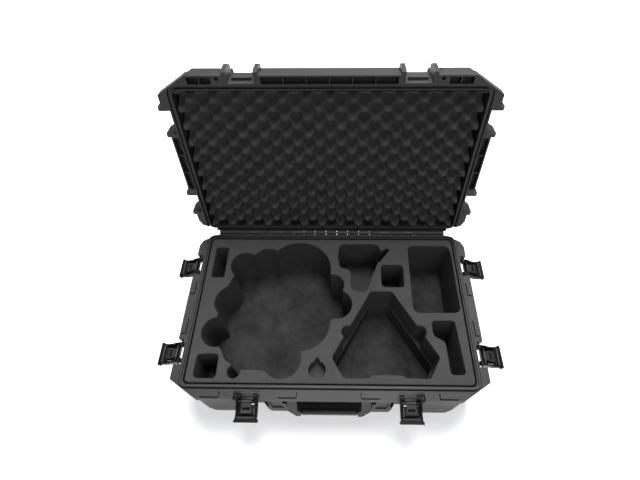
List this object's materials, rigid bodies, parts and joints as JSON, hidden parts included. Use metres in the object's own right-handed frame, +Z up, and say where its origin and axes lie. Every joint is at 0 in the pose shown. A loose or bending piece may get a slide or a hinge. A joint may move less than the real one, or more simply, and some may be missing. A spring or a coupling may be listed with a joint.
{
  "type": "drone carrying case",
  "caption": "Open hard carrying case with latched lid, folding handle, full-width hinge, egg-crate lid foam and a cut foam insert for a drone, goggles and controller.",
  "frame": {"origin": "middle of the flat bottom of the base, on the surface it stands on", "axes": "+Z up, +X to the right along the hinge line, -Y to the front where the handle is"},
  "size_m": [0.6958, 0.5405, 0.531],
  "materials": {
    "shell": "fine moulded texture, satin black",
    "latch_plastic": "smooth moulded black",
    "grip": "soft overmould",
    "eva_foam": "closed-cell foam, matt",
    "floor_foam": "closed-cell foam sheet, mottled",
    "egg_crate_foam": "open-cell foam, matt",
    "seal": "matt rubber",
    "steel": "blackened drawn wire"
  },
  "bodies": {
    "base": {"base_shell": "shell", "base_foam_insert": "eva_foam", "base_floor_pad": "floor_foam", "pressure_valve": "latch_plastic", "hinge_pin": "steel", "handle_pin_left": "steel", "handle_pin_right": "steel", "latch_front_left_pin": "steel", "latch_front_right_pin": "steel", "latch_left_front_pin": "steel", "latch_left_rear_pin": "steel", "latch_right_front_pin": "steel", "latch_right_rear_pin": "steel"},
    "lid": {"lid_shell": "shell", "lid_gasket": "seal", "lid_foam": "egg_crate_foam"},
    "handle": {"handle_frame": "shell", "handle_grip": "grip"},
    "latch_front_left": {"latch_front_left_body": "latch_plastic", "latch_front_left_trigger_pin": "steel", "latch_front_left_spring": "steel"},
    "trigger_front_left": {"latch_front_left_trigger": "shell"},
    "latch_front_right": {"latch_front_right_body": "latch_plastic", "latch_front_right_trigger_pin": "steel", "latch_front_right_spring": "steel"},
    "trigger_front_right": {"latch_front_right_trigger": "shell"},
    "latch_left_front": {"latch_left_front_body": "latch_plastic", "latch_left_front_trigger_pin": "steel", "latch_left_front_spring": "steel"},
    "trigger_left_front": {"latch_left_front_trigger": "shell"},
    "latch_left_rear": {"latch_left_rear_body": "latch_plastic", "latch_left_rear_trigger_pin": "steel", "latch_left_rear_spring": "steel"},
    "trigger_left_rear": {"latch_left_rear_trigger": "shell"},
    "latch_right_front": {"latch_right_front_body": "latch_plastic", "latch_right_front_trigger_pin": "steel", "latch_right_front_spring": "steel"},
    "trigger_right_front": {"latch_right_front_trigger": "shell"},
    "latch_right_rear": {"latch_right_rear_body": "latch_plastic", "latch_right_rear_trigger_pin": "steel", "latch_right_rear_spring": "steel"},
    "trigger_right_rear": {"latch_right_rear_trigger": "shell"}
  },
  "joints": [
    {"name": "lid_hinge", "type": "hinge", "parent": "base", "child": "lid", "pos_m": [0, 0.19, 0.1503], "axis": [1, 0, 0], "range_deg": [0, 101]},
    {"name": "handle_hinge", "type": "hinge", "parent": "base", "child": "handle", "pos_m": [0, -0.182, 0.112], "axis": [-1, 0, 0], "range_deg": [0, 95]},
    {"name": "latch_front_left_hinge", "type": "hinge", "parent": "base", "child": "latch_front_left", "pos_m": [-0.156, -0.183, 0.142], "axis": [-1, 0, 0], "range_deg": [0, 105]},
    {"name": "trigger_front_left_hinge", "type": "hinge", "parent": "latch_front_left", "child": "trigger_front_left", "pos_m": [-0.156, -0.19187, 0.13879], "axis": [1, 0, 0], "range_deg": [0, 12], "stiffness_Nm_per_rad": 0.05, "springref_deg": -8.59},
    {"name": "latch_front_right_hinge", "type": "hinge", "parent": "base", "child": "latch_front_right", "pos_m": [0.156, -0.183, 0.142], "axis": [-1, 0, 0], "range_deg": [0, 105]},
    {"name": "trigger_front_right_hinge", "type": "hinge", "parent": "latch_front_right", "child": "trigger_front_right", "pos_m": [0.156, -0.19187, 0.13879], "axis": [1, 0, 0], "range_deg": [0, 12], "stiffness_Nm_per_rad": 0.05, "springref_deg": -8.59},
    {"name": "latch_left_front_hinge", "type": "hinge", "parent": "base", "child": "latch_left_front", "pos_m": [-0.3025, -0.1, 0.142], "axis": [0, 1, 0], "range_deg": [0, 105]},
    {"name": "trigger_left_front_hinge", "type": "hinge", "parent": "latch_left_front", "child": "trigger_left_front", "pos_m": [-0.31137, -0.1, 0.13879], "axis": [0, -1, 0], "range_deg": [0, 12], "stiffness_Nm_per_rad": 0.05, "springref_deg": -8.59},
    {"name": "latch_left_rear_hinge", "type": "hinge", "parent": "base", "child": "latch_left_rear", "pos_m": [-0.3025, 0.101, 0.142], "axis": [0, 1, 0], "range_deg": [0, 105]},
    {"name": "trigger_left_rear_hinge", "type": "hinge", "parent": "latch_left_rear", "child": "trigger_left_rear", "pos_m": [-0.31137, 0.101, 0.13879], "axis": [0, -1, 0], "range_deg": [0, 12], "stiffness_Nm_per_rad": 0.05, "springref_deg": -8.59},
    {"name": "latch_right_front_hinge", "type": "hinge", "parent": "base", "child": "latch_right_front", "pos_m": [0.3025, -0.1, 0.142], "axis": [0, -1, 0], "range_deg": [0, 105]},
    {"name": "trigger_right_front_hinge", "type": "hinge", "parent": "latch_right_front", "child": "trigger_right_front", "pos_m": [0.31137, -0.1, 0.13879], "axis": [0, 1, 0], "range_deg": [0, 12], "stiffness_Nm_per_rad": 0.05, "springref_deg": -8.59},
    {"name": "latch_right_rear_hinge", "type": "hinge", "parent": "base", "child": "latch_right_rear", "pos_m": [0.3025, 0.101, 0.142], "axis": [0, -1, 0], "range_deg": [0, 105]},
    {"name": "trigger_right_rear_hinge", "type": "hinge", "parent": "latch_right_rear", "child": "trigger_right_rear", "pos_m": [0.31137, 0.101, 0.13879], "axis": [0, 1, 0], "range_deg": [0, 12], "stiffness_Nm_per_rad": 0.05, "springref_deg": -8.59}
  ]
}
